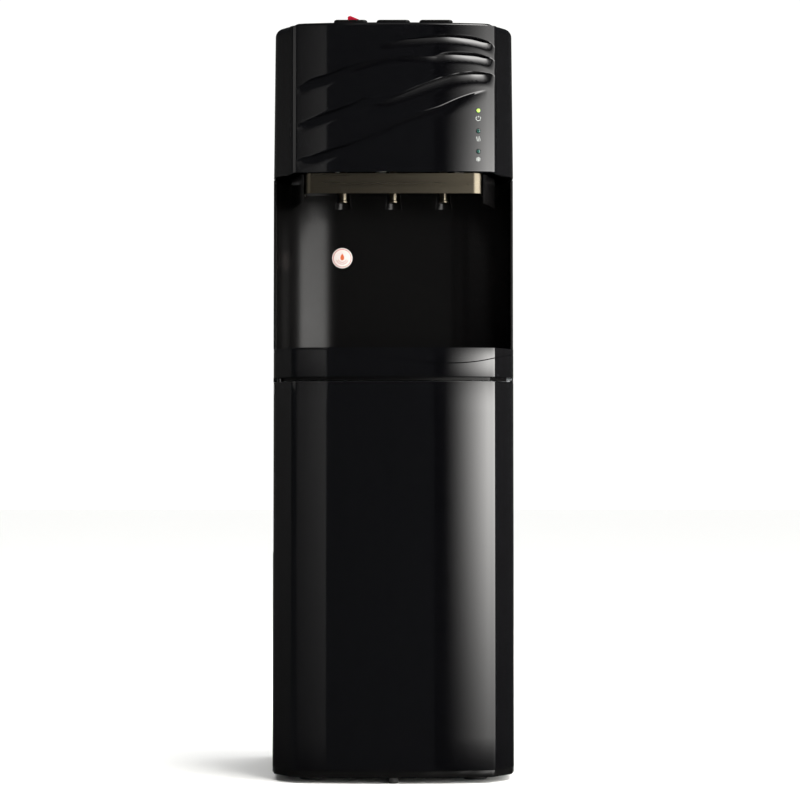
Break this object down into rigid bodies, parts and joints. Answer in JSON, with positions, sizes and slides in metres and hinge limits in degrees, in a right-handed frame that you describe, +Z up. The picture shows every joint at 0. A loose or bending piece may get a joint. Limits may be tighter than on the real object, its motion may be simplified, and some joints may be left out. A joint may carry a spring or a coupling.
{
  "type": "bottom-loading water dispenser",
  "caption": "Floor-standing water dispenser with a lower bottle door, a dispensing niche with taps and a lift-out drip tray, and a rippled glossy head with push keys on top.",
  "frame": {"origin": "on the floor, at the middle of the footprint", "axes": "+Z up, the front faces -Y, +X to the right as seen from the front"},
  "size_m": [0.324, 0.36, 1.0264],
  "materials": {
    "piano_black": "high gloss",
    "satin_black": "satin",
    "black_steel": "fine texture",
    "zinc_steel": "zinc plated",
    "smoked_chrome": "smoked bronze tint",
    "liner_grey": "moulded satin",
    "white_plastic": "moulded satin",
    "red_plastic": "moulded gloss",
    "green_plastic": "moulded gloss",
    "foot_rubber": "matte",
    "stainless": "drawn",
    "foam": "beaded foam",
    "sink_aluminium": "extruded",
    "silicone": "translucent",
    "circuit_board": "solder mask",
    "label": "printed film"
  },
  "bodies": {
    "cabinet": {"base_plinth": "satin_black", "board_tray": "zinc_steel", "bottle_probe": "white_plastic", "cabinet_screws": "zinc_steel", "cold_key_spring": "zinc_steel", "cold_tank": "stainless", "compartment_liner": "liner_grey", "control_board": "circuit_board", "cooling_module": "white_plastic", "dispense_valves": "white_plastic", "display_board": "circuit_board", "door_hinge_pins": "zinc_steel", "door_magnets": "satin_black", "drain_spouts": "satin_black", "fan_frame": "satin_black", "head_shell": "piano_black", "heat_sink": "sink_aluminium", "hot_key_spring": "zinc_steel", "hot_label": "label", "hot_tank": "stainless", "key_bracket": "zinc_steel", "key_microswitches": "white_plastic", "led_lenses": "green_plastic", "left_side_panel": "black_steel", "mid_shelf": "zinc_steel", "mid_trim": "piano_black", "niche_panel": "satin_black", "nozzle_guards": "satin_black", "power_inlet": "satin_black", "power_supply": "zinc_steel", "probe_holder": "liner_grey", "pump_bracket": "zinc_steel", "rear_panel": "black_steel", "right_side_panel": "black_steel", "room_key_spring": "zinc_steel", "rubber_feet": "foot_rubber", "suction_hose": "silicone", "switch_housing": "satin_black", "tank_heater": "stainless", "tank_insulation": "foam", "tap_hood": "satin_black", "tap_nozzles": "smoked_chrome", "trim_band": "smoked_chrome", "water_hoses": "silicone", "water_pump": "white_plastic", "wave_panel": "piano_black"},
    "door": {"door_panel": "piano_black", "door_liner": "liner_grey", "door_strikes": "zinc_steel"},
    "hot_key": {"hot_key": "satin_black"},
    "child_lock": {"child_lock": "red_plastic"},
    "room_key": {"room_key": "satin_black"},
    "cold_key": {"cold_key": "satin_black"},
    "drip_tray": {"drip_tray": "piano_black"},
    "drip_grille": {"drip_grille": "satin_black"},
    "heating_switch": {"heating_switch": "red_plastic"},
    "cooling_switch": {"cooling_switch": "green_plastic"},
    "fan": {"fan_rotor": "satin_black"},
    "hot_drain_cap": {"hot_drain_cap": "satin_black"},
    "cold_drain_cap": {"cold_drain_cap": "satin_black"}
  },
  "joints": [
    {"name": "door_hinge", "type": "hinge", "parent": "cabinet", "child": "door", "pos_m": [-0.153, -0.13, 0.276], "axis": [0, 0, -1], "range_deg": [0, 110]},
    {"name": "hot_key_press", "type": "slide", "parent": "cabinet", "child": "hot_key", "axis": [0, 0, -1], "range_m": [0, 0.004], "stiffness_N_per_m": 300, "springref_m": -0.003, "deforming": ["hot_key_spring"]},
    {"name": "room_key_press", "type": "slide", "parent": "cabinet", "child": "room_key", "axis": [0, 0, -1], "range_m": [0, 0.004], "stiffness_N_per_m": 300, "springref_m": -0.003, "deforming": ["room_key_spring"]},
    {"name": "cold_key_press", "type": "slide", "parent": "cabinet", "child": "cold_key", "axis": [0, 0, -1], "range_m": [0, 0.004], "stiffness_N_per_m": 300, "springref_m": -0.003, "deforming": ["cold_key_spring"]},
    {"name": "child_lock_slide", "type": "slide", "parent": "hot_key", "child": "child_lock", "axis": [-1, 0, 0], "range_m": [0, 0.008]},
    {"name": "drip_tray_lift", "type": "slide", "parent": "cabinet", "child": "drip_tray", "axis": [0, 0, 1], "range_m": [0, 0.08]},
    {"name": "drip_grille_lift", "type": "slide", "parent": "drip_tray", "child": "drip_grille", "axis": [0, 0, 1], "range_m": [0, 0.04]},
    {"name": "heating_rocker", "type": "hinge", "parent": "cabinet", "child": "heating_switch", "pos_m": [-0.11, 0.17, 0.7645], "axis": [1, 0, 0], "range_deg": [0, 10]},
    {"name": "cooling_rocker", "type": "hinge", "parent": "cabinet", "child": "cooling_switch", "pos_m": [-0.078, 0.17, 0.7645], "axis": [1, 0, 0], "range_deg": [0, 10]},
    {"name": "fan_spin", "type": "hinge", "parent": "cabinet", "child": "fan", "pos_m": [0.075, 0.135, 0.6391], "axis": [0, 1, 0], "continuous": true},
    {"name": "hot_drain_cap_pull", "type": "slide", "parent": "cabinet", "child": "hot_drain_cap", "axis": [0, 1, 0], "range_m": [0, 0.03]},
    {"name": "cold_drain_cap_pull", "type": "slide", "parent": "cabinet", "child": "cold_drain_cap", "axis": [0, 1, 0], "range_m": [0, 0.03]}
  ]
}
